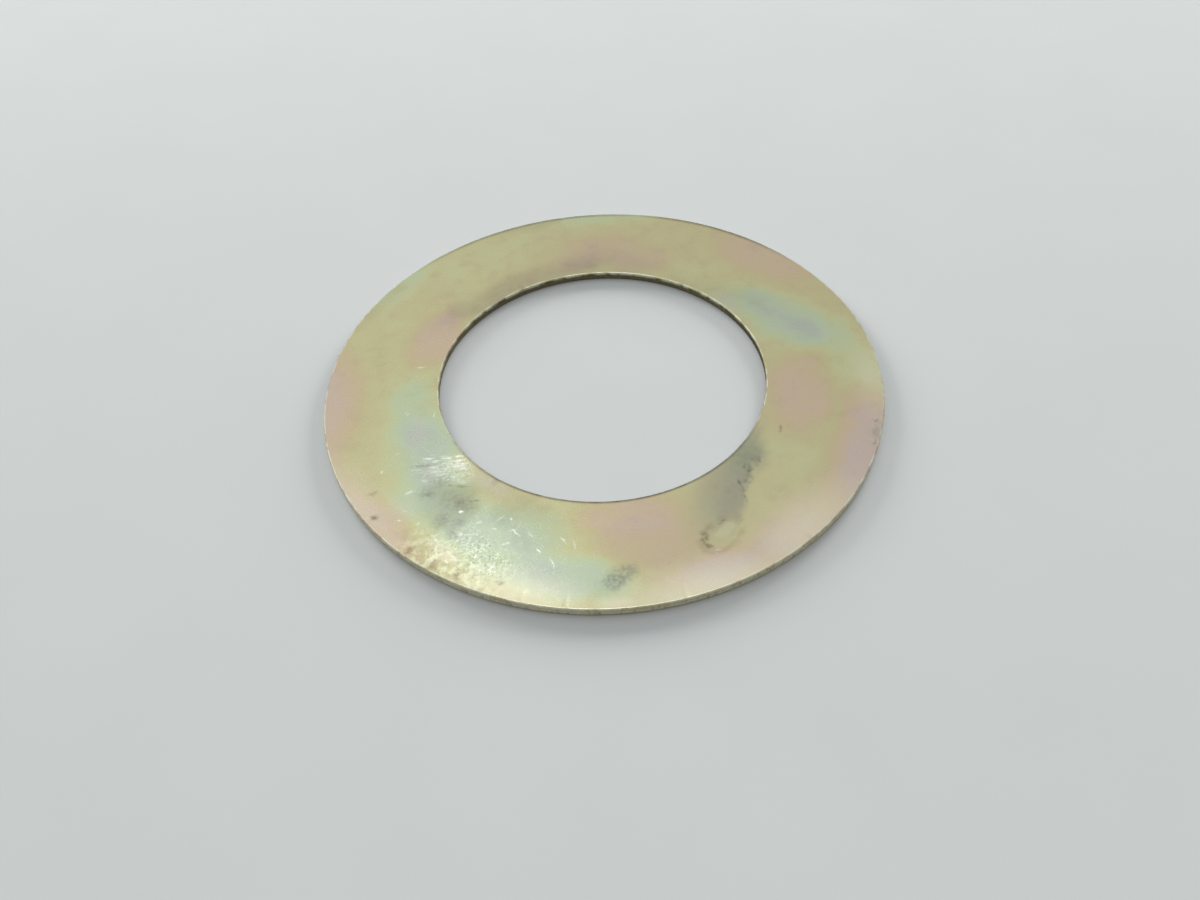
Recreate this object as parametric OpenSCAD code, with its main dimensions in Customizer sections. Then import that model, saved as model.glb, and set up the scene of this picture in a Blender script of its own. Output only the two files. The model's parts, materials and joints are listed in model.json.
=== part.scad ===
// Shim washer: one flat ring, blanked from cold-rolled steel sheet in a single
// stroke and then zinc plated. It takes up end play on a pivot pin.
// Millimetres. The ring lies on the plane z = 0 with its axis along +Z.

/* [Ring] */
// Outside diameter of the ring
outer_d = 76; // [55:0.5:150]
// Diameter of the bore
bore_d = 45; // [10:0.5:50]
// Thickness of the sheet
sheet_t = 1.2; // [0.8:0.1:3]

/* [Blanked edges] */
// Radius of the rolled edges round the upper face, where the cut began
roll_r = 0.15; // [0.05:0.01:0.25]
// Height of the smooth sheared land below the rolled edges
land_h = 0.4; // [0.1:0.05:0.4]
// How far the torn wall below the land has stepped back at the lower face
tear_back = 0.04; // [0.01:0.01:0.1]
// Size of the edge break round the lower face, where the burr was tumbled off
burr_break = 0.06; // [0.02:0.01:0.1]

/* [Hidden] */

outer_r = outer_d / 2;
bore_r = bore_d / 2;
// Height at which the land ends and the torn wall begins
tear_z = sheet_t - roll_r - land_h;
// How far the torn wall has stepped back where it meets the edge break
tear_at_break = tear_back * (1 - burr_break / tear_z);

// Sides of the circles: the revolved ring, and the rolled edges of its section
ring_fn = 240;
edge_fn = 48;

// What the rolled edge takes off a square corner at [0, 0], for metal that lies
// towards +X and -Y of the corner; the cut runs past the corner by its radius
module rolled_off() {
    difference() {
        square(2 * roll_r, center = true);
        translate([roll_r, -roll_r])
            circle(r = roll_r, $fn = edge_fn);
    }
}

// Half section of the ring in the XZ plane, drawn as X and Y: torn walls that
// flare to the lower face, upright lands, and a square upper face
module blank_section() {
    polygon([
        [bore_r + tear_back + burr_break, 0],
        [outer_r - tear_back - burr_break, 0],
        [outer_r - tear_at_break, burr_break],
        [outer_r, tear_z],
        [outer_r, sheet_t],
        [bore_r, sheet_t],
        [bore_r, tear_z],
        [bore_r + tear_at_break, burr_break],
    ]);
}

// The section with both upper corners rolled over
module ring_section() {
    difference() {
        blank_section();
        translate([bore_r, sheet_t])
            rolled_off();
        translate([outer_r, sheet_t])
            mirror([1, 0])
                rolled_off();
    }
}

// The washer: its section turned round the bore's axis
module shim_ring() {
    color("darkkhaki")
        rotate_extrude($fn = ring_fn)
            ring_section();
}

shim_ring();
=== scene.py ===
"""Shim washer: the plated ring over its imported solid, on a pale floor under soft light.

Lengths are metres in the row frame, apart from those whose name or comment says millimetres. The ring lies
on z = 0 with its axis on +Z. Marks on the upper face are placed in millimetres from the bore's axis, with
+Y away from the camera.
"""

import json
import logging
import math
from dataclasses import dataclass
from enum import Enum
from typing import Any

import bmesh
import bpy
from mathutils import Matrix, Vector, noise


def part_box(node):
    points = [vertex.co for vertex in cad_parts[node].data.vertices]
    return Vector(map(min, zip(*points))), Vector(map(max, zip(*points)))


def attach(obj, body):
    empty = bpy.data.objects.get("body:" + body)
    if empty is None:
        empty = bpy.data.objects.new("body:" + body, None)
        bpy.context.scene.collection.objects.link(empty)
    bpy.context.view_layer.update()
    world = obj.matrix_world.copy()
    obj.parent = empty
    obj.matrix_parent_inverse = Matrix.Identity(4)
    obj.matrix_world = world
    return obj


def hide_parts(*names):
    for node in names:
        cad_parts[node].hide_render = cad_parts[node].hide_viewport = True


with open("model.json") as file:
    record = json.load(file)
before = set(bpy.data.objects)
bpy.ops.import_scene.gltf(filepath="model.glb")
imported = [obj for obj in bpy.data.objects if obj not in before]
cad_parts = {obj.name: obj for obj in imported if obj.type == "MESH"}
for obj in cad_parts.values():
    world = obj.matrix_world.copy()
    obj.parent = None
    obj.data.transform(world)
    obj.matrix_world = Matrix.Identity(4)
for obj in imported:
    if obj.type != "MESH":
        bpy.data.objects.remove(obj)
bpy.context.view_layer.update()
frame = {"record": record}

LOG = logging.getLogger("shim_washer")
MM = 0.001
RING_NODE = "shim_ring"
# Name of the ring's attribute that says how far a nick has pressed a point
CRUSH = "crush"
# The picture's width in pixels, in which the camera was fitted
PICTURE_WIDTH = 1200
# Half height of an oval, so large that only a point's place on the face counts
TALL = 1e4

# A linear colour with its alpha, and a colour as a screen shows it, from 0 to 255
Colour = tuple[float, float, float, float]
Shade = tuple[int, int, int]


def screen(red: float, green: float, blue: float) -> Colour:
    """Turns a colour as a screen shows it into the linear colour that a shader takes.

    Args:
        red: Red from 0 to 255.
        green: Green from 0 to 255.
        blue: Blue from 0 to 255.

    Returns:
        The linear colour with an alpha of 1.
    """
    linear = []
    for part in (red / 255, green / 255, blue / 255):
        linear.append(part / 12.92 if part <= 0.04045 else ((part + 0.055) / 1.055) ** 2.4)
    return (linear[0], linear[1], linear[2], 1.0)


def smooth(value: float, start: float, stop: float) -> float:
    """Goes smoothly from 0 at start to 1 at stop.

    Args:
        value: Where to read the step.
        start: Value at which it is 0.
        stop: Value at which it is 1, above or below start.

    Returns:
        The height of the step.
    """
    share = min(max((value - start) / (stop - start), 0.0), 1.0)
    return share * share * (3 - 2 * share)


class Wire:
    """One output of a node, used in arithmetic: each operator adds a Math node."""

    def __init__(self, bench: "Bench", socket: bpy.types.NodeSocket) -> None:
        """Holds an output socket and the bench that its node stands on."""
        self.bench = bench
        self.socket = socket

    def _math(self, operation: str, first: Any, second: Any) -> "Wire":
        """Adds a Math node for two wires or numbers."""
        return self.bench.add("ShaderNodeMath", {"operation": operation}, {0: first, 1: second})

    def __add__(self, other: Any) -> "Wire":
        """Sum."""
        return self._math("ADD", self, other)

    def __radd__(self, other: Any) -> "Wire":
        """Sum with a number on the left."""
        return self._math("ADD", other, self)

    def __sub__(self, other: Any) -> "Wire":
        """Difference."""
        return self._math("SUBTRACT", self, other)

    def __rsub__(self, other: Any) -> "Wire":
        """Difference from a number on the left."""
        return self._math("SUBTRACT", other, self)

    def __mul__(self, other: Any) -> "Wire":
        """Product."""
        return self._math("MULTIPLY", self, other)

    def __rmul__(self, other: Any) -> "Wire":
        """Product with a number on the left."""
        return self._math("MULTIPLY", other, self)

    def __or__(self, other: Any) -> "Wire":
        """The larger of two wires, or of a wire and a number."""
        return self._math("MAXIMUM", self, other)

    def __ror__(self, other: Any) -> "Wire":
        """The larger of a number on the left and a wire."""
        return self._math("MAXIMUM", other, self)

    def __abs__(self) -> "Wire":
        """Size without its sign."""
        return self._math("ABSOLUTE", self, 0.0)


@dataclass(frozen=True)
class Oval:
    """An oval on the upper face, in millimetres and degrees.

    Attributes:
        x: Middle, to the right of the bore's axis.
        y: Middle, beyond the bore's axis.
        along: Half length.
        across: Half width.
        turn: Direction of its length, from +X towards +Y.
    """

    x: float
    y: float
    along: float
    across: float
    turn: float = 0.0


class Bench:
    """A node tree, with one method that adds any node and a few for what is used often."""

    def __init__(self, tree: bpy.types.NodeTree) -> None:
        """Takes a tree and clears it."""
        self.tree = tree
        tree.nodes.clear()

    def add(
        self,
        kind: str,
        settings: dict[str, Any] | None = None,
        sockets: dict[Any, Any] | None = None,
        output: int | str = 0,
    ) -> Wire:
        """Adds a node.

        Args:
            kind: The node's type.
            settings: Its properties; stops is a ramp's list of place and colour.
            sockets: A value or a wire for each input, by name or number.
            output: The output to give back, by name or number.

        Returns:
            The wire of that output.
        """
        node = self.tree.nodes.new(kind)
        for name, value in (settings or {}).items():
            if name == "stops":
                self._fill_ramp(node.color_ramp, value)
            else:
                setattr(node, name, value)
        for key, value in (sockets or {}).items():
            if isinstance(value, Wire):
                self.tree.links.new(value.socket, node.inputs[key])
            else:
                node.inputs[key].default_value = value
        return Wire(self, node.outputs[output] if len(node.outputs) else None)

    @staticmethod
    def _fill_ramp(ramp: bpy.types.ColorRamp, stops: list[tuple[float, Colour]]) -> None:
        """Writes a ramp's stops.

        Args:
            ramp: The ramp.
            stops: The place and colour of each stop, of which there are two or more.
        """
        while len(ramp.elements) < len(stops):
            ramp.elements.new(1.0)
        for element, (place, colour) in zip(ramp.elements, stops):
            element.position = place
            element.color = colour

    def ease(self, value: Any, start: float, stop: float) -> Wire:
        """Goes smoothly from 0 at start to 1 at stop."""
        sockets = {"Value": value, "From Min": start, "From Max": stop}
        return self.add("ShaderNodeMapRange", {"interpolation_type": "SMOOTHSTEP", "clamp": False}, sockets)

    def mix(self, share: Any, first: Any, second: Any) -> Wire:
        """Mixes two colours, each a wire or a shade, by a share of the second."""
        ends = [end if isinstance(end, Wire) else screen(*end) for end in (first, second)]
        return self.add("ShaderNodeMix", {"data_type": "RGBA"}, {0: share, 6: ends[0], 7: ends[1]}, 2)

    def vector(self, operation: str, first: Any, second: Any) -> Wire:
        """Adds a Vector Math node for two vectors."""
        return self.add("ShaderNodeVectorMath", {"operation": operation}, {0: first, 1: second})

    def scaled(self, vector: Wire, times: float) -> Wire:
        """Multiplies a vector by a number."""
        return self.add("ShaderNodeVectorMath", {"operation": "SCALE"}, {0: vector, "Scale": times})

    def parts(self, vector: Wire) -> tuple[Wire, Wire, Wire]:
        """Splits a vector.

        Args:
            vector: The vector.

        Returns:
            The wires of its three parts.
        """
        first = self.add("ShaderNodeSeparateXYZ", None, {0: vector})
        outputs = first.socket.node.outputs
        return first, Wire(self, outputs[1]), Wire(self, outputs[2])

    def length(self, vector: Wire) -> Wire:
        """Length of a vector."""
        return self.add("ShaderNodeVectorMath", {"operation": "LENGTH"}, {0: vector}, 1)

    def clouds(self, vector: Wire, size: float, detail: float = 2.0, output: int = 0) -> Wire:
        """Soft noise from 0 to 1 whose lumps are about size across, or as a vector with output 1."""
        sockets = {"Vector": vector, "Scale": 1 / size, "Detail": detail, "Roughness": 0.5}
        return self.add("ShaderNodeTexNoise", {"noise_dimensions": "3D"}, sockets, output)

    def local(self, point: Wire, oval: Oval) -> Wire:
        """Place of a point in an oval's own axes, in which its outline is a circle of radius 1."""
        sockets = {
            "Vector": point,
            "Location": (oval.x, oval.y, 0.0),
            "Rotation": (0.0, 0.0, math.radians(oval.turn)),
            "Scale": (oval.along, oval.across, TALL),
        }
        return self.add("ShaderNodeMapping", {"vector_type": "TEXTURE"}, sockets)

    def nearness(self, point: Wire, oval: Oval) -> Wire:
        """1 in the middle of an oval, falling evenly to 0 at its outline."""
        settings = {"gradient_type": "SPHERICAL"}
        return self.add("ShaderNodeTexGradient", settings, {"Vector": self.local(point, oval)}, "Fac")

    def spot(self, point: Wire, oval: Oval, core: float = 0.0) -> Wire:
        """A mask that is 1 inside the core share of an oval and fades to 0 at its outline."""
        return self.ease(self.nearness(point, oval), 0.0, 1.0 - core)

    def strayed(self, place: Wire, lump: float, reach: float) -> Wire:
        """Points in millimetres that stray from a place in metres as an uneven liquid edge does.

        Args:
            place: Place in metres.
            lump: Width of the noise's lumps, in millimetres.
            reach: Range of the straying, in millimetres.

        Returns:
            The strayed points, in millimetres.
        """
        noise_vector = self.clouds(place, lump * MM, 2.0, 1)
        shift = self.scaled(self.vector("SUBTRACT", noise_vector, (0.5, 0.5, 0.5)), reach * MM)
        return self.millimetres(self.vector("ADD", place, shift))

    def millimetres(self, place: Wire) -> Wire:
        """Turns a place in metres into millimetres."""
        scale = (1 / MM, 1 / MM, 1 / MM)
        return self.add("ShaderNodeMapping", {"vector_type": "POINT"}, {"Vector": place, "Scale": scale})


class Tone(Enum):
    """What a mark leaves on the plated face, as its colour on a screen."""

    SOOT = (88, 84, 66)
    GREY = (129, 131, 122)
    BLOOM = (197, 189, 184)
    BROWN = (130, 106, 78)
    PALE = (228, 223, 196)
    BARE = (238, 242, 228)


@dataclass(frozen=True)
class FilmPool:
    """A pool in the passivate, where its film dried thicker or thinner than around it.

    Attributes:
        oval: Where it lies.
        lift: How far it moves the film's colour along its scale.
        haze: How much grey haze dried on it, from 0 to 1.
        core: Share of the oval that it fills evenly before it fades.
    """

    oval: Oval
    lift: float
    haze: float = 0.0
    core: float = 0.25


@dataclass(frozen=True)
class Mark:
    """A stain, rub or speck on the film.

    Attributes:
        oval: Where it lies.
        strength: How much of the film it hides, from 0 to 1.
        core: Share of the oval that it covers fully before it fades.
    """

    oval: Oval
    strength: float
    core: float = 0.0


# Pools in the film, roughly clockwise from the far side of the ring
FILM_POOLS = (
    FilmPool(Oval(2.8, 27.1, 15.0, 6.6, -4.0), 0.20, 0.05),
    FilmPool(Oval(-0.3, 37.8, 14.0, 4.4), -0.20),
    FilmPool(Oval(1.0, 24.0, 4.5, 2.0), -0.16),
    FilmPool(Oval(25.8, 24.4, 14.0, 7.0, -48.0), 0.26),
    FilmPool(Oval(26.0, 9.6, 10.5, 7.2, -40.0), -0.36, 0.05, 0.0),
    FilmPool(Oval(22.2, 13.6, 7.0, 4.6, -44.0), -0.16, 0.12, 0.0),
    FilmPool(Oval(31.3, 5.4, 7.0, 6.0, -40.0), -0.27, 0.0, 0.1),
    FilmPool(Oval(34.4, -2.0, 6.5, 5.5, 85.0), -0.12),
    FilmPool(Oval(33.6, -8.1, 5.5, 3.6, 75.0), 0.20),
    FilmPool(Oval(26.6, -5.2, 11.5, 5.8, 78.0), 0.28),
    FilmPool(Oval(33.0, -17.9, 14.0, 6.8, 61.0), 0.50),
    FilmPool(Oval(20.8, -29.9, 11.5, 5.8, 38.0), 0.32),
    FilmPool(Oval(22.6, -18.3, 8.5, 3.8, 78.0), -0.05),
    FilmPool(Oval(2.7, -24.6, 10.5, 4.4), 0.24),
    FilmPool(Oval(4.2, -29.1, 9.0, 5.0), 0.20, 0.07),
    FilmPool(Oval(10.7, -33.7, 7.5, 3.8, 18.0), 0.38),
    FilmPool(Oval(-4.8, -33.5, 9.5, 4.6, -8.0), -0.36),
    FilmPool(Oval(-13.4, -28.3, 10.0, 6.5, -34.0), -0.30),
    FilmPool(Oval(-21.0, -20.4, 10.5, 8.0, -58.0), -0.36, 0.0, 0.05),
    FilmPool(Oval(-23.6, -11.9, 8.0, 6.4, 100.0), -0.36),
    FilmPool(Oval(-25.8, -3.6, 9.0, 5.6, 88.0), -0.25),
    FilmPool(Oval(-9.4, -25.7, 7.5, 5.0, -38.0), -0.16, 0.12),
    FilmPool(Oval(-30.9, -22.9, 15.0, 5.4, -52.0), 0.33),
    FilmPool(Oval(-37.7, -4.0, 17.0, 6.4, 90.0), 0.36),
    FilmPool(Oval(-23.1, 10.4, 9.0, 5.0, 66.0), 0.30),
    FilmPool(Oval(-30.0, 21.8, 9.5, 3.6, 52.0), -0.20),
    FilmPool(Oval(-18.5, 27.8, 15.0, 8.0, 30.0), -0.06),
    # Haze along the far rim, along the far edge of the bore and in the worn patch on the near left
    FilmPool(Oval(-9.0, 36.9, 10.0, 2.6, 14.0), 0.0, 0.17),
    FilmPool(Oval(-32.4, 18.7, 9.0, 2.4, 60.0), 0.08, 0.12),
    FilmPool(Oval(-11.3, 20.0, 19.0, 5.2, 31.0), 0.06, 0.30),
    FilmPool(Oval(3.9, 24.0, 12.0, 4.5, -8.0), 0.04, 0.15),
    FilmPool(Oval(16.6, 17.2, 9.0, 3.6, -42.0), -0.04, 0.15, 0.1),
    FilmPool(Oval(-19.4, -21.5, 6.6, 5.0, -70.0), 0.06, 0.24),
    FilmPool(Oval(-12.9, -21.2, 9.0, 3.0, -33.0), 0.04, 0.18),
)

# Dirt and wear on the upper face that is seen one by one, by what it leaves, from the lowest layer up
MARKS: dict[Tone, tuple[Mark, ...]] = {
    Tone.BLOOM: (
        # Beside the worn patch and along the bore on the right
        Mark(Oval(-15.0, -18.4, 4.8, 1.8, -40.0), 0.34),
        Mark(Oval(-25.8, -22.0, 3.6, 2.2, -50.0), 0.34),
        Mark(Oval(-24.6, -9.0, 4.0, 2.2, 100.0), 0.28),
        Mark(Oval(19.2, 13.7, 5.2, 1.9, -54.0), 0.30),
    ),
    Tone.PALE: (
        # Wear along the rim, on the near side and on the right
        Mark(Oval(10.4, -36.5, 17.0, 6.4, 14.0), 0.64),
        Mark(Oval(22.8, -28.6, 14.0, 7.0, 42.0), 0.44),
        Mark(Oval(37.0, -4.0, 11.0, 5.0, 86.0), 0.27),
        Mark(Oval(0.5, -37.3, 5.5, 1.7), 0.50),
        Mark(Oval(-32.0, -20.0, 14.0, 5.5, -57.0), 0.28),
        # These two lie round the glare on the near left: partly pale wear, partly a painted highlight
        Mark(Oval(-10.5, -35.0, 12.0, 4.2, -18.0), 0.50),
        Mark(Oval(-19.9, -28.7, 3.4, 2.4, -50.0), 0.50),
    ),
    Tone.GREY: (
        # In the worn patch
        Mark(Oval(-22.4, -19.4, 2.8, 2.0), 0.36),
        Mark(Oval(-21.2, -18.0, 2.6, 2.0, 70.0), 0.32),
        Mark(Oval(-18.9, -21.3, 4.4, 3.2, -40.0), 0.42),
        Mark(Oval(-20.5, -23.7, 2.8, 1.7, 60.0), 0.42),
        Mark(Oval(-18.5, -24.3, 2.2, 1.3, 50.0), 0.40),
        Mark(Oval(-19.4, -25.9, 1.9, 0.8, -62.0), 0.52),
        # Along the bore on the right
        Mark(Oval(19.2, 13.7, 5.2, 1.9, -54.0), 0.12),
        # A dull strip beside the flecks
        Mark(Oval(-13.5, -23.8, 4.0, 2.4, -42.0), 0.20),
        # A smudge with two lobes near the rim
        Mark(Oval(0.0, -34.0, 2.4, 1.9, 48.0), 0.58, 0.3),
        Mark(Oval(1.1, -33.3, 2.4, 1.8, 35.0), 0.48, 0.3),
        # The bruise on the right
        Mark(Oval(34.7, -13.7, 1.6, 0.8, 70.0), 0.50),
    ),
    Tone.BROWN: (
        # In the worn patch
        Mark(Oval(-17.5, -22.0, 2.6, 1.5, -20.0), 0.15),
        # Spots along the near left rim
        Mark(Oval(-29.5, -18.9, 0.9, 0.7, 20.0), 0.45),
        Mark(Oval(-28.8, -22.8, 0.9, 0.7, -20.0), 0.65),
        Mark(Oval(-24.3, -28.1, 1.6, 0.6, 32.0), 0.50),
        Mark(Oval(-21.4, -30.4, 1.5, 1.0, -20.0), 0.35),
        Mark(Oval(-18.3, -31.8, 1.4, 0.6, 95.0), 0.50),
        Mark(Oval(-13.3, -33.5, 0.9, 0.4, -15.0), 0.40),
    ),
    Tone.SOOT: (
        # In the worn patch
        Mark(Oval(-16.7, -21.1, 1.2, 0.24, 4.0), 0.55),
        Mark(Oval(-18.5, -21.4, 0.6, 0.35, 20.0), 0.30),
        Mark(Oval(-19.9, -18.4, 0.5, 0.3, -40.0), 0.40),
        Mark(Oval(-18.4, -18.7, 1.8, 0.3, -4.0), 0.30),
        Mark(Oval(-22.8, -19.7, 1.2, 0.5), 0.25),
        # A streak across the patch beside the bore
        Mark(Oval(-23.6, -14.9, 2.2, 0.24, 2.0), 0.40),
        # A tick and the bruise on the right
        Mark(Oval(22.6, -12.4, 1.1, 0.30, 80.0), 0.50),
        Mark(Oval(35.2, -11.9, 0.8, 0.26, 60.0), 0.55),
        Mark(Oval(35.0, -12.0, 0.6, 0.20, -30.0), 0.45),
        Mark(Oval(34.1, -15.6, 0.9, 0.22, 55.0), 0.45),
    ),
    Tone.BARE: (
        # Streaks across the patch beside the bore
        Mark(Oval(-22.9, -13.7, 1.2, 0.22, -1.0), 0.75),
        Mark(Oval(-20.6, -13.8, 1.0, 0.24, -2.0), 0.80),
        Mark(Oval(-19.1, -13.6, 0.8, 0.30, -4.0), 0.90),
        Mark(Oval(-22.4, -14.2, 1.8, 0.16, -1.0), 0.50),
        Mark(Oval(-19.0, -14.3, 1.5, 0.26, 2.0), 0.85),
        Mark(Oval(-18.6, -14.9, 1.1, 0.26, -3.0), 0.80),
        Mark(Oval(-19.4, -15.2, 1.2, 0.24, 6.0), 0.75),
        Mark(Oval(-18.4, -15.7, 1.0, 0.30, -8.0), 0.85),
        Mark(Oval(-22.2, -15.3, 1.0, 0.22, -4.0), 0.45),
        Mark(Oval(-24.3, -15.5, 1.2, 0.14, -2.0), 0.35),
        Mark(Oval(-19.3, -14.8, 3.0, 1.7, -14.0), 0.30),
        Mark(Oval(-19.0, -16.9, 1.6, 1.0, 20.0), 0.22),
        Mark(Oval(-18.5, -17.9, 1.6, 0.8, -15.0), 0.24),
        Mark(Oval(-17.5, -17.1, 0.9, 1.4, 10.0), 0.16),
        Mark(Oval(-21.4, -16.0, 2.8, 0.6, 2.0), 0.32),
        Mark(Oval(-23.0, -17.4, 0.7, 0.4, -10.0), 0.40),
        # Specks and short scratches, most of them round the patch
        Mark(Oval(-28.7, -15.5, 0.36, 0.26, 60.0), 0.50),
        Mark(Oval(-25.0, -19.2, 0.8, 0.35, 40.0), 0.50),
        Mark(Oval(-27.0, -12.5, 0.4, 0.2), 0.40),
        Mark(Oval(-25.8, -23.5, 0.40, 0.20), 0.60),
        Mark(Oval(-25.1, -22.1, 0.50, 0.14, -10.0), 0.40),
        Mark(Oval(-23.4, -24.1, 0.45, 0.20, 40.0), 0.45),
        Mark(Oval(-18.2, -22.8, 0.40, 0.28, 15.0), 1.0, 0.4),
        Mark(Oval(-13.5, -24.2, 1.0, 0.20, 32.0), 0.45),
        Mark(Oval(-12.1, -24.3, 0.40, 0.22, 100.0), 0.70),
        Mark(Oval(-11.6, -26.4, 1.1, 0.18, -50.0), 0.95),
        Mark(Oval(-14.2, -25.6, 0.6, 0.22, -20.0), 0.55),
        Mark(Oval(-16.1, -24.6, 0.8, 0.20, 20.0), 0.45),
        Mark(Oval(-12.7, -28.0, 0.80, 0.22, 18.0), 0.75),
        Mark(Oval(-9.8, -26.8, 0.80, 0.14, -70.0), 0.60),
        Mark(Oval(-8.9, -29.3, 0.70, 0.19, -55.0), 0.95),
        Mark(Oval(-7.3, -31.1, 1.35, 0.16, -76.0), 0.95),
        Mark(Oval(-5.9, -28.0, 1.0, 0.15, -58.0), 0.60),
        Mark(Oval(-4.6, -28.7, 1.1, 0.13, -80.0), 0.45),
        Mark(Oval(-21.0, -28.3, 1.0, 0.26, 95.0), 0.60),
        Mark(Oval(-21.1, -26.1, 0.9, 0.24, 40.0), 0.50),
        Mark(Oval(-18.2, -26.0, 0.5, 0.3, 80.0), 0.60),
        Mark(Oval(-25.1, 3.6, 1.0, 0.15, -4.0), 0.50),
        Mark(Oval(-26.6, -5.1, 0.7, 0.13, 40.0), 0.50),
        Mark(Oval(-26.3, -5.5, 0.6, 0.12, 42.0), 0.40),
        Mark(Oval(-22.7, -5.8, 0.9, 0.12, 88.0), 0.45),
        Mark(Oval(12.1, -30.9, 0.5, 0.16, 5.0), 0.50),
        Mark(Oval(-21.3, -26.6, 1.8, 0.34, -60.0), 0.45),
        Mark(Oval(-18.7, -29.6, 1.4, 0.34, -45.0), 0.45),
    ),
}


@dataclass(frozen=True)
class TongueStain:
    """A dried run of fluid from the bore towards the near rim, sharp on its right side.

    Attributes:
        body: Oval that its grey body fills.
        border: Oval whose second axis lies along its sharp side.
        shoulder: Oval by which it bulges over that side at the bore.
        head: Oval at the bore in which it dried greener.
        fringe: Oval in which dirt gathered along its sharp side.
        ticks: Dark marks left along that side and round the last drop.
        loop: Oval that the last drop left.
        middle: Oval inside it that dried clear.
        grey: Colour of its body on a screen.
        green: Colour of its head.
        clear: Colour of the middle of the last drop.
    """

    body: Oval = Oval(15.0, -20.0, 12.5, 7.6, 58.0)
    border: Oval = Oval(17.0, -21.4, 1.0, 1.0, -20.0)
    shoulder: Oval = Oval(18.6, -16.0, 4.8, 2.5, 72.0)
    head: Oval = Oval(17.8, -15.8, 5.4, 3.4, 62.0)
    fringe: Oval = Oval(17.2, -20.0, 4.4, 2.4, 68.0)
    ticks: tuple[Oval, ...] = (
        Oval(18.8, -17.2, 1.0, 0.30, 112.0),
        Oval(17.4, -19.3, 0.9, 0.50, 40.0),
        Oval(17.3, -18.3, 0.6, 0.30, 60.0),
        Oval(16.2, -21.1, 1.1, 0.38, 102.0),
        Oval(16.5, -23.4, 1.0, 0.22, 83.0),
        Oval(10.8, -28.9, 1.3, 0.70, 80.0),
        Oval(11.3, -30.2, 1.2, 0.60, -55.0),
        Oval(12.0, -30.9, 0.9, 0.40, -35.0),
        Oval(13.1, -26.7, 0.8, 0.24, 20.0),
    )
    loop: Oval = Oval(12.9, -28.7, 4.2, 2.6, 44.0)
    middle: Oval = Oval(13.3, -27.9, 2.1, 0.9, 40.0)
    grey: Shade = (138, 137, 129)
    green: Shade = (121, 131, 119)
    clear: Shade = (196, 193, 156)


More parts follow.
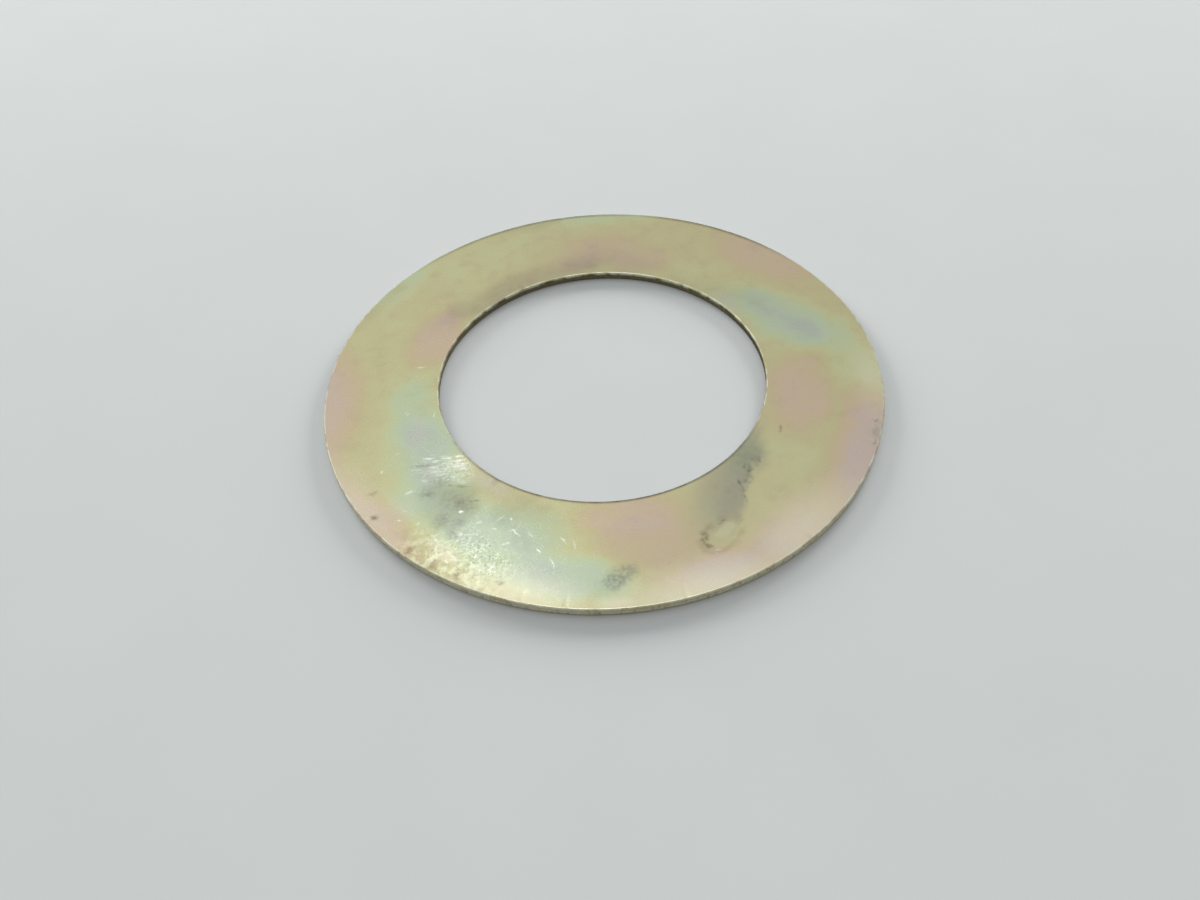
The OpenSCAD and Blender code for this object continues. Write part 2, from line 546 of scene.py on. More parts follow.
@dataclass(frozen=True)
class PlatedFilm:
    """Yellow passivate over bright zinc: a satin metal whose colour follows the film's thickness.

    Attributes:
        stops: Colours as the film thickens, as a screen shows them.
        level: Where on that scale the film lies outside its pools.
        haze: Colour of the grey haze.
        rim_wall: Colours of the torn and the sheared wall round the outside.
        bore_wall: Colours of the torn and the sheared wall of the bore.
        burnish_and_highlight: Colour of the rolled edges where handling has polished them, partly a painted
            highlight along them.
        torn: Colour of the deepest grooves in the torn walls.
        crushed: Colour of the metal in the nicks.
        painted_edge_shade: Colour of the painted shade along the edges.
        edge_shade_ovals: Ovals in which the edges carry that painted shade, each with its strength.
        shaded_bore_wall: Oval in which the wall of the bore, on the right, carries that painted shade too.
        scratched: Ovals of the patch that handling has scratched.
        rubbed: Ovals in which the film is rubbed through in flecks.
        dashed: Oval in which they are drawn out into dashes.
        crusted: Oval in which cream and brown flecks lie along the rim.
        cream: Colour of the cream ones.
        stain: The dried run.
        satin: Roughness of the clean film.
        wall_rough: How much rougher the walls are.
        relief: Height of the grain, the scratches and the grooves.
    """

    stops: tuple[tuple[float, Shade], ...] = (
        (0.00, (178, 178, 168)),
        (0.10, (175, 182, 166)),
        (0.22, (180, 190, 165)),
        (0.34, (183, 192, 156)),
        (0.47, (190, 189, 146)),
        (0.58, (189, 182, 140)),
        (0.70, (191, 177, 141)),
        (0.84, (194, 175, 149)),
        (1.00, (192, 175, 162)),
    )
    level: float = 0.57
    haze: Shade = (120, 119, 104)
    rim_wall: tuple[Shade, Shade] = ((236, 229, 204), (212, 200, 166))
    bore_wall: tuple[Shade, Shade] = ((140, 131, 102), (106, 98, 76))
    burnish_and_highlight: Shade = (232, 232, 208)
    torn: Shade = (92, 82, 62)
    crushed: Shade = (186, 180, 152)
    painted_edge_shade: Shade = (82, 78, 60)
    edge_shade_ovals: tuple[tuple[Oval, float], ...] = (
        (Oval(0.1, -18.5, 32.0, 16.0), 0.9),
        (Oval(20.0, 33.5, 20.0, 9.0, -30.0), 0.75),
        (Oval(-10.0, 36.0, 29.0, 12.0, 14.0), 0.62),
    )
    shaded_bore_wall: Oval = Oval(22.5, 4.0, 6.0, 17.0)
    scratched: tuple[Oval, ...] = (
        Oval(-23.0, -14.9, 7.0, 4.0, 100.0),
        Oval(-12.4, -28.3, 11.0, 5.5, -35.0),
    )
    rubbed: tuple[Oval, ...] = (
        Oval(-15.6, -29.4, 6.4, 3.6, -40.0),
        Oval(-19.6, -15.8, 4.0, 2.4, 10.0),
    )
    dashed: Oval = Oval(-20.6, -14.5, 5.4, 2.2, -6.0)
    crusted: Oval = Oval(-19.3, -30.8, 10.0, 4.6, -38.0)
    cream: Shade = (236, 239, 206)
    stain: TongueStain = TongueStain()
    satin: float = 0.28
    wall_rough: float = 0.32
    relief: float = 0.02 * MM

    def make(self, ring: "ShimRing") -> bpy.types.Material:
        """Builds the material.

        Args:
            ring: The ring that it is for, whose thickness and radii place the walls.

        Returns:
            The material.
        """
        material = bpy.data.materials.new("plated_film")
        material.use_nodes = True
        bench = Bench(material.node_tree)
        place = bench.add("ShaderNodeTexCoord", None, None, "Object")
        point = bench.millimetres(place)
        top = ring.thick / MM
        height = bench.parts(point)[2]
        upper = bench.ease(height, top - 0.30, top - 0.14)
        wall = bench.ease(height, 0.02, 0.09) * (1 - upper)

        bent = bench.strayed(place, 8.0, 5.0)
        grain = bench.clouds(point, 0.8, 3.0)
        colour = self._film(bench, point, bent, upper)
        colour, stained = self._stain(bench, place, upper, colour)
        colour, dirt = self._marks(bench, place, upper, colour)
        scratched = self._union(bench, bent, self.scratched) * upper
        lines = self._hairlines(bench, point) * scratched
        flecks, cream, pits = self._flecks(bench, point, bent, upper)
        colour = bench.mix(cream * 0.5, colour, self.cream)
        colour = bench.mix(lines * 0.34 | flecks * 0.48, colour, Tone.BARE.value)
        colour = bench.mix(pits, colour, Tone.SOOT.value)
        colour, grooves = self._edges(bench, ring, point, wall, colour)

        roughness = self.satin + (grain - 0.5) * 0.10 + (stained | dirt) * 0.10 + wall * self.wall_rough
        relief = (grain - 0.5) * 0.15 - lines * 0.5 - pits * 0.8 + grooves * wall * 0.8
        bump = {"Strength": 0.30, "Distance": self.relief, "Height": relief}
        sockets = {
            "Base Color": colour,
            "Metallic": 1.0,
            "Roughness": roughness,
            "Normal": bench.add("ShaderNodeBump", None, bump),
        }
        metal = bench.add("ShaderNodeBsdfPrincipled", None, sockets)
        bench.add("ShaderNodeOutputMaterial", None, {"Surface": metal})
        return material

    @staticmethod
    def _union(bench: Bench, point: Wire, ovals: tuple[Oval, ...]) -> Wire:
        """Makes a mask of some ovals.

        Args:
            bench: Where its nodes go.
            point: Place in millimetres.
            ovals: The ovals.

        Returns:
            The mask of all that lies in them.
        """
        mask: Any = 0.0
        for oval in ovals:
            mask = bench.spot(point, oval, 0.25) | mask
        return mask

    def _film(self, bench: Bench, point: Wire, bent: Wire, upper: Wire) -> Wire:
        """Lays the film, with its pools on the upper face and broad clouds on the lower one.

        Args:
            bench: Where its nodes go.
            point: Place in millimetres.
            bent: The same, bent as the pools ran.
            upper: Mask of the upper face.

        Returns:
            The film's colour.
        """
        pooled: Any = 0.0
        haze: Any = 0.0
        for pool in FILM_POOLS:
            spot = bench.spot(bent, pool.oval, pool.core)
            pooled = spot * pool.lift + pooled
            if pool.haze > 0:
                haze = spot * pool.haze + haze
        under = bench.clouds(point, 16.0, 2.0) - 0.5
        mottle = bench.clouds(point, 2.5, 2.5) - 0.5
        drift = (bench.clouds(point, 6.0, 2.0) - 0.5) * 0.18 + mottle * 0.22
        thickness = self.level + drift + pooled * upper + under * (1 - upper) * 1.3
        stops = [(step, screen(*shade)) for step, shade in self.stops]
        colour = bench.add("ShaderNodeValToRGB", {"stops": stops}, {"Fac": thickness})
        haze = haze * upper + bench.ease(under, 0.0, 0.3) * (1 - upper) * 0.3
        patchy = haze * (1 + mottle * 0.7) + bench.ease(mottle, 0.0, 0.32) * 0.10
        return bench.mix(patchy, colour, self.haze)

    def _stain(self, bench: Bench, place: Wire, upper: Wire, colour: Wire) -> tuple[Wire, Wire]:
        """Lays the dried run over a colour.

        Args:
            bench: Where its nodes go.
            place: Place in metres.
            upper: Mask of the upper face.
            colour: Colour under it.

        Returns:
            The new colour, and the mask of the run.
        """
        torn = bench.strayed(place, 1.8, 1.3)
        across = bench.parts(bench.local(torn, self.stain.border))[0]
        grown = bench.ease(across, -9.0, -1.0) * bench.ease(across, 0.8, -0.5)
        grown = bench.spot(torn, self.stain.shoulder, 0.1) | grown
        cloud = bench.clouds(bench.millimetres(place), 0.7, 4.0)
        body = bench.spot(torn, self.stain.body, 0.35) * grown * (0.78 + cloud * 0.44) * upper
        head = bench.spot(torn, self.stain.head, 0.3)
        shade = bench.mix(head, self.stain.grey, self.stain.green)
        colour = bench.mix(body * 0.64, colour, shade)
        reach = 1 - bench.nearness(torn, self.stain.loop)
        patchy = bench.ease(bench.clouds(torn, 1.4), 0.3, 0.7)
        outline = bench.ease(abs(reach - 0.72), 0.26, 0.0) * patchy * upper
        colour = bench.mix(outline * 0.28, colour, Tone.BROWN.value)
        inside = bench.spot(torn, self.stain.middle, 0.5) * upper
        colour = bench.mix(inside * 0.45, colour, self.stain.clear)
        broken = bench.ease(cloud, 0.40, 0.58)
        fringe = bench.ease(abs(across + 0.1), 0.6, 0.0) * bench.spot(torn, self.stain.fringe, 0.3)
        ticks = self._union(bench, torn, self.stain.ticks) * (0.35 + broken * 0.7)
        dark = (fringe * broken * 0.7 | ticks) * upper
        colour = bench.mix(dark * 0.52, colour, Tone.SOOT.value)
        return colour, body | dark

    @staticmethod
    def _marks(bench: Bench, place: Wire, upper: Wire, colour: Wire) -> tuple[Wire, Wire]:
        """Lays the single marks over a colour.

        Args:
            bench: Where their nodes go.
            place: Place in metres.
            upper: Mask of the upper face.
            colour: Colour under them.

        Returns:
            The new colour, and the mask of the dirt.
        """
        frayed = bench.strayed(place, 0.8, 0.7)
        ragged = 0.45 + bench.ease(bench.clouds(bench.millimetres(place), 0.45, 4.0), 0.34, 0.60) * 0.8
        masks: dict[Tone, Wire] = {}
        for tone, marks in MARKS.items():
            mask: Any = 0.0
            for mark in marks:
                mask = bench.spot(frayed, mark.oval, mark.core) * mark.strength | mask
            even = tone in (Tone.BLOOM, Tone.PALE)
            colour = bench.mix(mask * upper if even else mask * ragged * upper, colour, tone.value)
            masks[tone] = mask
        return colour, (masks[Tone.GREY] | masks[Tone.BROWN] | masks[Tone.SOOT]) * upper

    @staticmethod
    def _hairlines(bench: Bench, point: Wire) -> Wire:
        """Fine scratches that cross each other.

        Args:
            bench: Where their nodes go.
            point: Place in millimetres.

        Returns:
            Their mask.
        """
        lines: Any = 0.0
        for number, turn in enumerate((-66.0, -38.0, 12.0, 64.0)):
            local = bench.local(point, Oval(3.0 * number, 11.0 * number, 2.4, 0.16, turn))
            sockets = {"Vector": local, "Scale": 1.0, "Detail": 0.0}
            grain = bench.add("ShaderNodeTexNoise", {"noise_dimensions": "2D"}, sockets)
            lines = bench.ease(grain, 0.20, 0.14) | lines
        return lines

    def _flecks(self, bench: Bench, point: Wire, bent: Wire, upper: Wire) -> tuple[Wire, Wire, Wire]:
        """Flecks of bare metal, of thin film and of dirt where the film is rubbed.

        Args:
            bench: Where their nodes go.
            point: Place in millimetres.
            bent: The same, bent as the pools ran.
            upper: Mask of the upper face.

        Returns:
            The masks of the bare flecks, of the cream ones and of the dark ones.
        """
        cloud = bench.clouds(point, 0.6, 5.0)
        rubbed = self._union(bench, bent, self.rubbed) * upper
        flecks = bench.ease(bench.clouds(point, 0.42, 3.0), 0.46, 0.64) * rubbed
        drawn = bench.clouds(bench.local(point, Oval(0.0, 0.0, 1.5, 0.16, -2.0)), 1.0, 2.0)
        flecks = bench.ease(drawn, 0.50, 0.66) * bench.spot(bent, self.dashed, 0.2) * upper * 1.2 | flecks
        cells = {"Vector": point, "Scale": 2.2}
        near = bench.add("ShaderNodeTexVoronoi", {"voronoi_dimensions": "2D", "feature": "F1"}, cells)
        kind = Wire(bench, near.socket.node.outputs["Color"])
        chance = bench.add("ShaderNodeSeparateColor", None, {0: kind})
        pits = bench.ease(near, 0.30, 0.12) * bench.ease(chance, 0.66, 0.85) * rubbed * 0.5
        crusted = bench.spot(bent, self.crusted, 0.2) * upper
        cream = bench.ease(bench.clouds(point, 1.1, 4.0), 0.46, 0.62) * crusted
        crust = bench.ease(cloud, 0.50, 0.36) * crusted * 0.24
        return flecks, cream, pits | crust

    def _edges(
        self, bench: Bench, ring: "ShimRing", point: Wire, wall: Wire, colour: Wire
    ) -> tuple[Wire, Wire]:
        """Colours the walls and the nicks, with polish and a painted highlight on the rolled edges and
        painted shade along them.

        Args:
            bench: Where their nodes go.
            ring: The ring whose radii and heights place them.
            point: Place in millimetres.
            wall: Mask of the walls.
            colour: Colour of the faces.

        Returns:
            The new colour, and the noise of the grooves in the walls.
        """
        top = ring.thick / MM
        tear = ring.tear_z / MM
        outer = ring.outer_r / MM
        bore = ring.bore_r / MM
        height = bench.parts(point)[2]
        radius = bench.length(bench.vector("MULTIPLY", point, (1.0, 1.0, 0.0)))
        from_rim = outer - radius
        from_bore = radius - bore
        outside = bench.ease(radius, bore + 3.0, outer - 3.0)
        sheared = bench.ease(height, tear - 0.2, tear + 0.2)
        rim_wall = bench.mix(sheared, self.rim_wall[0], self.rim_wall[1])
        bore_wall = bench.mix(sheared, self.bore_wall[0], self.bore_wall[1])
        walls = bench.mix(outside, bore_wall, rim_wall)
        grooves = bench.clouds(bench.vector("MULTIPLY", point, (1.0, 1.0, 0.35)), 0.35, 3.0)
        walls = bench.mix(bench.ease(grooves, 0.45, 0.8) * 0.5, walls, self.torn)
        colour = bench.mix(wall, colour, walls)
        crush = bench.add("ShaderNodeAttribute", {"attribute_name": CRUSH}, None, "Fac")
        colour = bench.mix(crush * 0.6, colour, self.crushed)
        above = bench.ease(height, top - 0.6, top - 0.3)
        rolled = bench.ease(from_rim, 0.24, 0.12) | bench.ease(from_bore, 0.24, 0.12)
        # Polish on the rolled edges, in patches all round: partly wear, partly a painted highlight line
        # along the upper edges
        polish_and_highlight = bench.ease(bench.clouds(point, 1.6, 3.0), 0.36, 0.60) * rolled * above
        colour = bench.mix(polish_and_highlight * 0.75, colour, self.burnish_and_highlight)
        along = bench.ease(from_rim, 0.95, 0.15) | bench.ease(from_bore, 0.55, 0.15)
        # Painted shade on the wall of the bore on the right, in the colour of the painted edge shade
        shaded_bore_wall = bench.spot(point, self.shaded_bore_wall, 0.2) * (1 - outside) * wall
        colour = bench.mix(shaded_bore_wall * 0.7, colour, self.painted_edge_shade)
        # Painted shade: darkens the upper edges in patches along the near side of the bore and along the
        # far rim
        edge_shade_ovals: Any = 0.0
        for oval, strength in self.edge_shade_ovals:
            edge_shade_ovals = bench.spot(point, oval, 0.25) * strength | edge_shade_ovals
        painted_edge_shade = edge_shade_ovals * along * above * (0.45 + bench.clouds(point, 1.2, 3.0))
        return bench.mix(painted_edge_shade * 0.85, colour, self.painted_edge_shade), grooves


@dataclass(frozen=True)
class FloorPaint:
    """Pale matt floor.

    Attributes:
        colour: Its colour as a screen shows it.
        fade: How much darker its cloudy patches are, on the same scale.
        roughness: Its roughness.
    """

    colour: Shade = (194, 197, 195)
    fade: int = 4
    roughness: float = 0.75

    def make(self) -> bpy.types.Material:
        """Builds the material.

        Returns:
            The material.
        """
        material = bpy.data.materials.new("pale_floor")
        material.use_nodes = True
        bench = Bench(material.node_tree)
        point = bench.add("ShaderNodeTexCoord", None, None, "Object")
        cloud = bench.clouds(point, 0.02, 3.0)
        faded = tuple(part - self.fade for part in self.colour)
        shade = bench.mix(cloud, self.colour, faded)
        sockets = {"Base Color": shade, "Roughness": self.roughness, "Specular IOR Level": 0.2}
        paint = bench.add("ShaderNodeBsdfPrincipled", None, sockets)
        bench.add("ShaderNodeOutputMaterial", None, {"Surface": paint})
        return material


class Edge(Enum):
    """The two blanked edges of the ring."""

    RIM = "rim"
    BORE = "bore"


@dataclass(frozen=True)
class Nick:
    """A dent in an upper edge.

    Attributes:
        edge: The edge that it is in.
        angle: Its place round the ring, in degrees from +X towards +Y.
        reach: Half its length along the edge, in millimetres.
        depth: How far it is pressed in, in millimetres.
        inset: How far it reaches onto the face, in millimetres.
    """

    edge: Edge
    angle: float
    reach: float
    depth: float
    inset: float = 0.5


# The bruise on the right in three parts, then small dents round both upper edges
NICKS = (
    Nick(Edge.RIM, -18.8, 0.8, 0.10, 0.7),
    Nick(Edge.RIM, -21.8, 1.6, 0.13, 1.0),
    Nick(Edge.RIM, -24.8, 0.7, 0.09, 0.6),
    Nick(Edge.RIM, -99.0, 0.35, 0.05),
    Nick(Edge.RIM, -107.0, 0.5, 0.035),
    Nick(Edge.RIM, -114.5, 0.6, 0.05),
    Nick(Edge.RIM, -120.0, 0.4, 0.04),
    Nick(Edge.RIM, -125.5, 0.8, 0.06),
    Nick(Edge.RIM, -131.0, 0.5, 0.045),
    Nick(Edge.RIM, -142.0, 0.4, 0.05),
    Nick(Edge.RIM, -78.0, 0.4, 0.05),
    Nick(Edge.RIM, -52.0, 0.6, 0.05),
    Nick(Edge.RIM, 38.0, 0.5, 0.05),
    Nick(Edge.RIM, 97.0, 0.6, 0.05),
    Nick(Edge.RIM, 151.0, 0.4, 0.05),
    Nick(Edge.BORE, -128.0, 0.6, 0.06),
    Nick(Edge.BORE, 64.0, 0.4, 0.04),
    Nick(Edge.BORE, 118.0, 0.5, 0.05),
)


@dataclass
class ShimRing:
    """The ring: its blanked section turned round the axis, then worn.

    Attributes:
        outer_r: Outside radius.
        bore_r: Radius of the bore.
        thick: Thickness of the sheet.
        tear_z: Height at which the smooth land ends and the torn wall begins.
        roll_r: Radius of the rolled edges round the upper face.
        tear_back: How far the torn wall has stepped back at the lower face.
        burr_break: Size of the edge break round the lower face.
        hold: Distance of the loops that keep the faces flat up to their edges.
        face_min: Length from which an edge of the section is one of the two faces.
        wall_min: Height from which one is a wall.
        upper_cuts: Cuts across the upper face.
        lower_cuts: Cuts across the lower face.
        torn_cuts: Cuts up a torn wall.
        land_cuts: Cuts up a land.
        weld: Distance within which points of neighbouring sectors are one.
        sectors: Sectors round the ring.
        steps: Sections in a sector.
        roll_steps: Facets in the section of a rolled edge.
        wall_depth: How far in from an edge a point still belongs to its wall.
        torn_depth: Depth of the grooves in the torn walls.
        sag: Depth of the broad hollows in the upper face.
        ripple: Depth of the small ones.
        full_crush: Depth at which a nick shows bare metal.
    """

    outer_r: float
    bore_r: float
    thick: float
    tear_z: float
    roll_r: float
    tear_back: float = 0.04 * MM
    burr_break: float = 0.06 * MM
    hold: float = 0.03 * MM
    face_min: float = 5 * MM
    wall_min: float = 0.3 * MM
    upper_cuts: int = 13
    lower_cuts: int = 9
    torn_cuts: int = 4
    land_cuts: int = 1
    weld: float = 0.002 * MM
    sectors: int = 36
    steps: int = 40
    roll_steps: int = 6
    wall_depth: float = 0.09 * MM
    torn_depth: float = 0.035 * MM
    sag: float = 0.02 * MM
    ripple: float = 0.006 * MM
    full_crush: float = 0.12 * MM

    @classmethod
    def from_frame(cls) -> "ShimRing":
        """Reads the ring's sizes from its solid and from the record's bore.

        Returns:
            The ring.
        """
        low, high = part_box(RING_NODE)
        bore = next(mount for mount in frame["record"]["mounts"] if mount["name"] == "bore")
        middle = bore["pos_m"][2]
        half_land = bore["dims"]["length_mm"] * MM / 2
        thick = high[2] - low[2]
        return cls(
            outer_r=max(high[0], -low[0]),
            bore_r=bore["dims"]["r_mm"] * MM,
            thick=thick,
            tear_z=middle - half_land,
            roll_r=thick - middle - half_land,
        )

    def build(self) -> bpy.types.Object:
        """Makes the ring's mesh and puts it in the scene.

        Returns:
            The ring's object.
        """
        shape = bmesh.new()
        self._draw_section(shape)
        self._turn(shape)
        bmesh.ops.recalc_face_normals(shape, faces=shape.faces)
        self._wear(shape)
        for face in shape.faces:
            face.smooth = True
        mesh = bpy.data.meshes.new("plated_ring")
        shape.to_mesh(mesh)
        shape.free()
        piece = bpy.data.objects.new("plated_ring", mesh)
        bpy.context.scene.collection.objects.link(piece)
        return piece

    def _draw_section(self, shape: bmesh.types.BMesh) -> None:
        """Draws the half section in the XZ plane as a closed loop of edges.

        Args:
            shape: The mesh to draw it in.
        """
        at_break = self.tear_back * (1 - self.burr_break / self.tear_z)
        lower = self.tear_back + self.burr_break
        corners = (
            (self.bore_r + lower, 0.0),
            (self.outer_r - lower, 0.0),
            (self.outer_r - at_break, self.burr_break),
            (self.outer_r, self.tear_z),
            (self.outer_r, self.thick),
            (self.bore_r, self.thick),
            (self.bore_r, self.tear_z),
            (self.bore_r + at_break, self.burr_break),
        )
        verts = [shape.verts.new((across, 0.0, up)) for across, up in corners]
        bmesh.ops.contextual_create(shape, geom=verts)
        bmesh.ops.bevel(
            shape,
            geom=[verts[4], verts[5]],
            offset=self.roll_r,
            segments=self.roll_steps,
            profile=0.5,
            affect="VERTICES",
            material=-1,
        )
        bmesh.ops.delete(shape, geom=list(shape.faces), context="FACES_ONLY")
        shape.edges.ensure_lookup_table()
        for edge in list(shape.edges):
            self._divide(shape, edge)

    def _turn(self, shape: bmesh.types.BMesh) -> None:
        """Turns the section into a sector and copies that round the ring, quicker than one long spin.

        Args:
            shape: The mesh that holds the section.
        """
        axis = {"cent": (0.0, 0.0, 0.0), "axis": (0.0, 0.0, 1.0)}
        sector = math.tau / self.sectors
        section = list(shape.verts) + list(shape.edges)
        bmesh.ops.spin(shape, geom=section, angle=sector, steps=self.steps, **axis)
        whole = list(shape.verts) + list(shape.edges) + list(shape.faces)
        copies = self.sectors - 1
        bmesh.ops.spin(shape, geom=whole, angle=sector * copies, steps=copies, use_duplicate=True, **axis)
        bmesh.ops.remove_doubles(shape, verts=shape.verts, dist=self.weld)

    def _divide(self, shape: bmesh.types.BMesh, edge: bmesh.types.BMEdge) -> None:
        """Divides one edge of the section as finely as its place on the ring needs.

        Args:
            shape: The mesh that holds the section.
            edge: The edge.
        """
        first, last = (vert.co for vert in edge.verts)
        long = edge.calc_length()
        if long > self.face_min:
            share = self.hold / long
            near = bmesh.utils.edge_split(edge, edge.verts[0], share)[0]
            rest = max(edge, near, key=lambda part: part.calc_length())
            far = bmesh.utils.edge_split(rest, rest.verts[1], share)[0]
            rest = max(rest, far, key=lambda part: part.calc_length())
            cuts = self.upper_cuts if first.z > self.tear_z else self.lower_cuts
            bmesh.ops.subdivide_edges(shape, edges=[rest], cuts=cuts)
        elif abs(first.z - last.z) > self.wall_min:
            cuts = self.torn_cuts if min(first.z, last.z) < self.tear_z * 0.5 else self.land_cuts
            bmesh.ops.subdivide_edges(shape, edges=[edge], cuts=cuts)

    def _wear(self, shape: bmesh.types.BMesh) -> None:
        """Moves the mesh as blanking and handling have: torn walls, nicks and an uneven upper face.

        Args:
            shape: The ring's mesh.
        """
        layer = shape.verts.layers.float.new(CRUSH)
        middle = (self.outer_r + self.bore_r) / 2
        # The walls end just below the rolled edges, and a nick presses down what lies above nick_z
        wall_top = self.thick - self.roll_r * 1.01
        nick_z = self.tear_z * 0.8
        for vert in shape.verts:
            place = vert.co.copy()
            radius = math.hypot(place.x, place.y)
            out = Vector((place.x / radius, place.y / radius, 0.0))
            angle = math.degrees(math.atan2(place.y, place.x))
            side = 1.0 if radius > middle else -1.0
            from_edge = (self.outer_r - radius) if side > 0 else (radius - self.bore_r)
            if from_edge < self.wall_depth and 0.0 < place.z < wall_top:
                vert.co += self._torn(place, out, side)
            elif place.z > self.tear_z:
                vert.co.z -= self._waviness(place)
            crush = self._crush(angle, radius, from_edge, side)
            if place.z > nick_z and crush > 0:
                share = smooth(place.z, nick_z, self.thick)
                inward = crush * 0.25 * smooth(from_edge, 0.4 * MM, 0.0)
                vert.co.z -= crush * share
                vert.co -= out * side * inward
                vert[layer] = min(crush / self.full_crush, 1.0) * share

    def _torn(self, place: Vector, out: Vector, side: float) -> Vector:
        """Works out how a point of a wall moves, where the sheet tore rather than sheared.

        Args:
            place: The point.
            out: Direction from the axis to it.
            side: 1 on the rim and -1 on the bore.

        Returns:
            Its move.
        """
        low = smooth(place.z, self.tear_z + 0.15 * MM, self.tear_z - 0.25 * MM)
        # Grooves up the wall, about 0.6 mm and 0.2 mm wide
        coarse = noise.noise(Vector((place.x, place.y, place.z * 0.3)) * 1600)
        fine = noise.noise(Vector((place.x, place.y, place.z * 0.6)) * 5200)
        # The line where the tear begins wanders up and down
        tent = smooth(place.z, 0.05 * MM, self.tear_z)
        tent *= smooth(place.z, self.thick - self.roll_r, self.tear_z)
        lift = noise.noise(out * 9.0) * 0.09 * MM + noise.noise(out * 40.0) * 0.04 * MM
        groove = (0.5 + 0.5 * coarse + 0.3 * fine) * self.torn_depth
        return -out * side * low * groove + Vector((0, 0, lift * tent))

    def _waviness(self, place: Vector) -> float:
        """Works out how far the upper face lies below its plane.

        Args:
            place: A point of the face.

        Returns:
            Its depth.
        """
        # Hollows about 14 mm and 4 mm wide
        broad = noise.noise(Vector((place.x, place.y, 0.0)) * 70)
        local = noise.noise(Vector((place.x, place.y, 0.01)) * 240)
        return (0.5 + 0.5 * broad) * self.sag + (0.5 + 0.5 * local) * self.ripple

    def _crush(self, angle: float, radius: float, from_edge: float, side: float) -> float:
        """Works out how far the nicks press a point of the upper edges down.

        Args:
            angle: Its place round the ring, in degrees.
            radius: Its distance from the axis.
            from_edge: Its distance in from the edge.
            side: 1 on the rim and -1 on the bore.

        Returns:
            The depth of the deepest nick there.
        """
        edge = Edge.RIM if side > 0 else Edge.BORE
        deepest = 0.0
        for nick in NICKS:
            if nick.edge is not edge or from_edge > nick.inset * MM:
                continue
            turn = (angle - nick.angle + 180) % 360 - 180
            along = abs(math.radians(turn)) * radius / (nick.reach * MM)
            if along < 1:
                share = smooth(along, 1, 0) * smooth(from_edge, nick.inset * MM, 0)
                deepest = max(deepest, nick.depth * MM * share)
        return deepest

    def dress(self, piece: bpy.types.Object, film: PlatedFilm) -> None:
        """Gives the ring its finish and its place in the frame.

        Args:
            piece: The ring's object.
            film: Its finish.
        """
        piece.data.materials.append(film.make(self))
        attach(piece, "root")
        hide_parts(RING_NODE)


@dataclass(frozen=True)
class Lamp:
    """A soft lamp.

    Attributes:
        name: Its name.
        place: Where it hangs.
        aim: The point that it faces.
        size: Its side.
        power: Its power in watts.
        mirrored: Whether metal shows its reflection.
    """

    name: str
    place: tuple[float, float, float]
    aim: tuple[float, float, float]
    size: float
    power: float
    mirrored: bool = True

    def hang(self) -> None:
        """Puts the lamp in the scene."""
        data = bpy.data.lights.new(self.name, "AREA")
        data.shape = "DISK"
        data.size = self.size
        data.energy = self.power
        lamp = bpy.data.objects.new(self.name, data)
        lamp.location = self.place
        away = Vector(self.place) - Vector(self.aim)
        lamp.rotation_euler = away.to_track_quat("Z", "Y").to_euler()
        lamp.visible_glossy = self.mirrored
        bpy.context.scene.collection.objects.link(lamp)


@dataclass(frozen=True)
class Sky:
    """Soft light that comes mostly from beyond the ring and from overhead.

    Attributes:
        base: Strength on all sides.
        beyond: Strength added on the far side.
        lean: How much of that moves from its right to its left.
        low: Share of it that is left at the horizon.
        overhead: Strength added overhead.
        near: Strength added low on the near side for the camera and in reflections alone.
        level: Colour towards the horizon, as a screen shows it.
        high: Colour overhead.
    """

    base: float = 0.07
    beyond: float = 0.79
    lean: float = 0.28
    low: float = 0.76
    overhead: float = 0.22
    near: float = 0.46
    level: Shade = (250, 252, 251)
    high: Shade = (247, 250, 255)

    def paint(self) -> None:
        """Makes this the scene's world."""
        world = bpy.data.worlds.new("soft_sky")
        world.use_nodes = True
        bench = Bench(world.node_tree)
        direction = bench.add("ShaderNodeTexCoord", None, None, "Generated")
        side, beyond, up = bench.parts(direction)
        far = bench.ease(beyond, -0.6, 0.6)
        near = (1 - far) * (1 - bench.ease(up, 0.25, 0.75) * 0.8)
        rise = self.low + bench.ease(up, 0.08, 0.48) * (1 - self.low)
        # The floor isn't lit by the near side, so that it keeps the ring's shadow
        camera_ray = bench.add("ShaderNodeLightPath", None, None, "Is Camera Ray")
        rays = camera_ray.socket.node.outputs
        shown = camera_ray | Wire(bench, rays["Is Glossy Ray"]) | Wire(bench, rays["Is Transmission Ray"])
        glow = self.base + far * rise * (self.beyond - side * self.lean)
        glow = glow + bench.ease(up, 0.3, 1.0) * self.overhead + shown * near * self.near
        tint = bench.mix(bench.ease(up, 0.45, 0.85), self.level, self.high)
        light = bench.add("ShaderNodeBackground", None, {"Color": tint, "Strength": glow})
        bench.add("ShaderNodeOutputWorld", None, {"Surface": light})
        bpy.context.scene.world = world


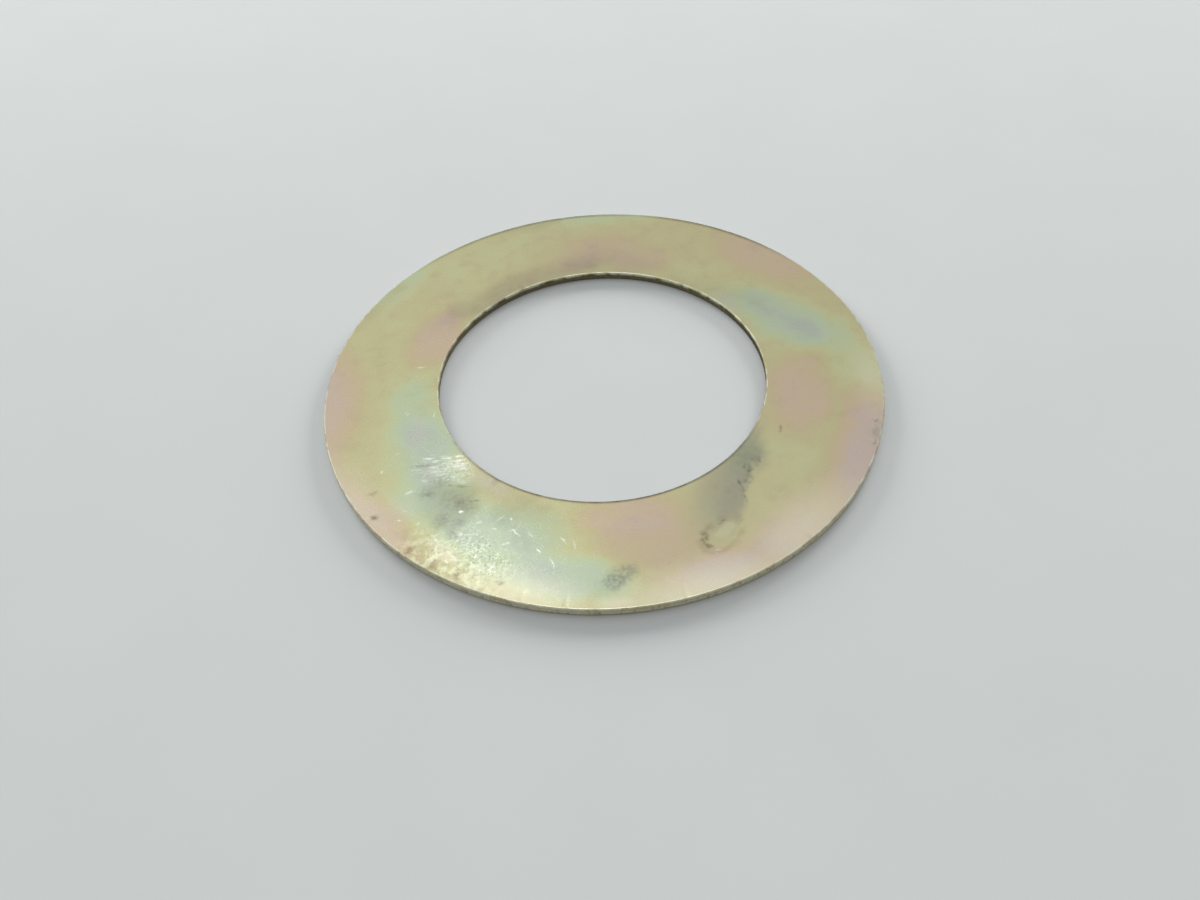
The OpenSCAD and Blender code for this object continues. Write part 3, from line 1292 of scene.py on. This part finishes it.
@dataclass
class Studio:
    """Floor, light and camera.

    Attributes:
        floor_r: Radius of the floor.
        floor_gap: How far it lies under the ring.
        sky: The light from all round.
        lamps: The lamps over it.
        eye: Place of the camera.
        tilt: Its angle below level, in degrees.
        roll: Its turn about its own line of sight, in degrees.
        focal_px: Its focal length in pixels of the picture.
        film_width: Width of its film, in millimetres.
        clip_start: The nearest that it sees.
    """

    floor_r: float = 0.4
    floor_gap: float = 0.005 * MM
    sky: Sky = Sky()
    lamps: tuple[Lamp, ...] = (
        Lamp("left_window", (-0.56, 0.82, 0.22), (0.0, 0.0, 0.0), 0.40, 12.0, mirrored=False),
        Lamp("right_window", (0.56, 0.82, 0.22), (0.0, 0.0, 0.0), 0.40, 12.0, mirrored=False),
        Lamp("overhead", (0.0, 0.0, 0.6), (0.0, 0.0, 0.0), 0.34, 0.44),
        Lamp("glint", (-0.088, 0.300, 0.492), (-0.015, -0.031, 0.0), 0.07, 0.030),
    )
    eye: tuple[float, float, float] = (-0.878 * MM, -95.864 * MM, 92.243 * MM)
    tilt: float = 48.065
    roll: float = -3.639
    focal_px: float = 955.2
    film_width: float = 36.0
    clip_start: float = 0.005

    def build(self) -> None:
        """Lays the floor, hangs the lamps, paints the sky and sets up the camera."""
        self._lay_floor()
        for lamp in self.lamps:
            lamp.hang()
        self.sky.paint()
        self._set_camera()
        bpy.context.scene.view_settings.view_transform = "Standard"

    def _lay_floor(self) -> None:
        """Lays a round floor just under the ring."""
        shape = bmesh.new()
        bmesh.ops.create_circle(shape, cap_ends=True, segments=96, radius=self.floor_r)
        mesh = bpy.data.meshes.new("floor")
        shape.to_mesh(mesh)
        shape.free()
        mesh.materials.append(FloorPaint().make())
        floor = bpy.data.objects.new("floor", mesh)
        floor.location.z = -self.floor_gap
        bpy.context.scene.collection.objects.link(floor)

    def _set_camera(self) -> None:
        """Puts the camera where the photograph was taken from."""
        data = bpy.data.cameras.new("camera")
        data.sensor_fit = "HORIZONTAL"
        data.sensor_width = self.film_width
        data.lens = self.film_width * self.focal_px / PICTURE_WIDTH
        data.clip_start = self.clip_start
        camera = bpy.data.objects.new("camera", data)
        turn = Matrix.Rotation(math.radians(90 - self.tilt), 4, "X")
        roll = Matrix.Rotation(math.radians(self.roll), 4, "Z")
        camera.matrix_world = Matrix.Translation(self.eye) @ turn @ roll
        bpy.context.scene.collection.objects.link(camera)
        bpy.context.scene.camera = camera


def main() -> None:
    """Builds the ring and the studio round it."""
    logging.basicConfig(level=logging.INFO, format="%(name)s: %(message)s")
    ring = ShimRing.from_frame()
    piece = ring.build()
    ring.dress(piece, PlatedFilm())
    LOG.info("%s: %d faces", piece.name, len(piece.data.polygons))
    Studio().build()
    LOG.info("studio: floor, lamps and camera")


if __name__ == "__main__":
    main()
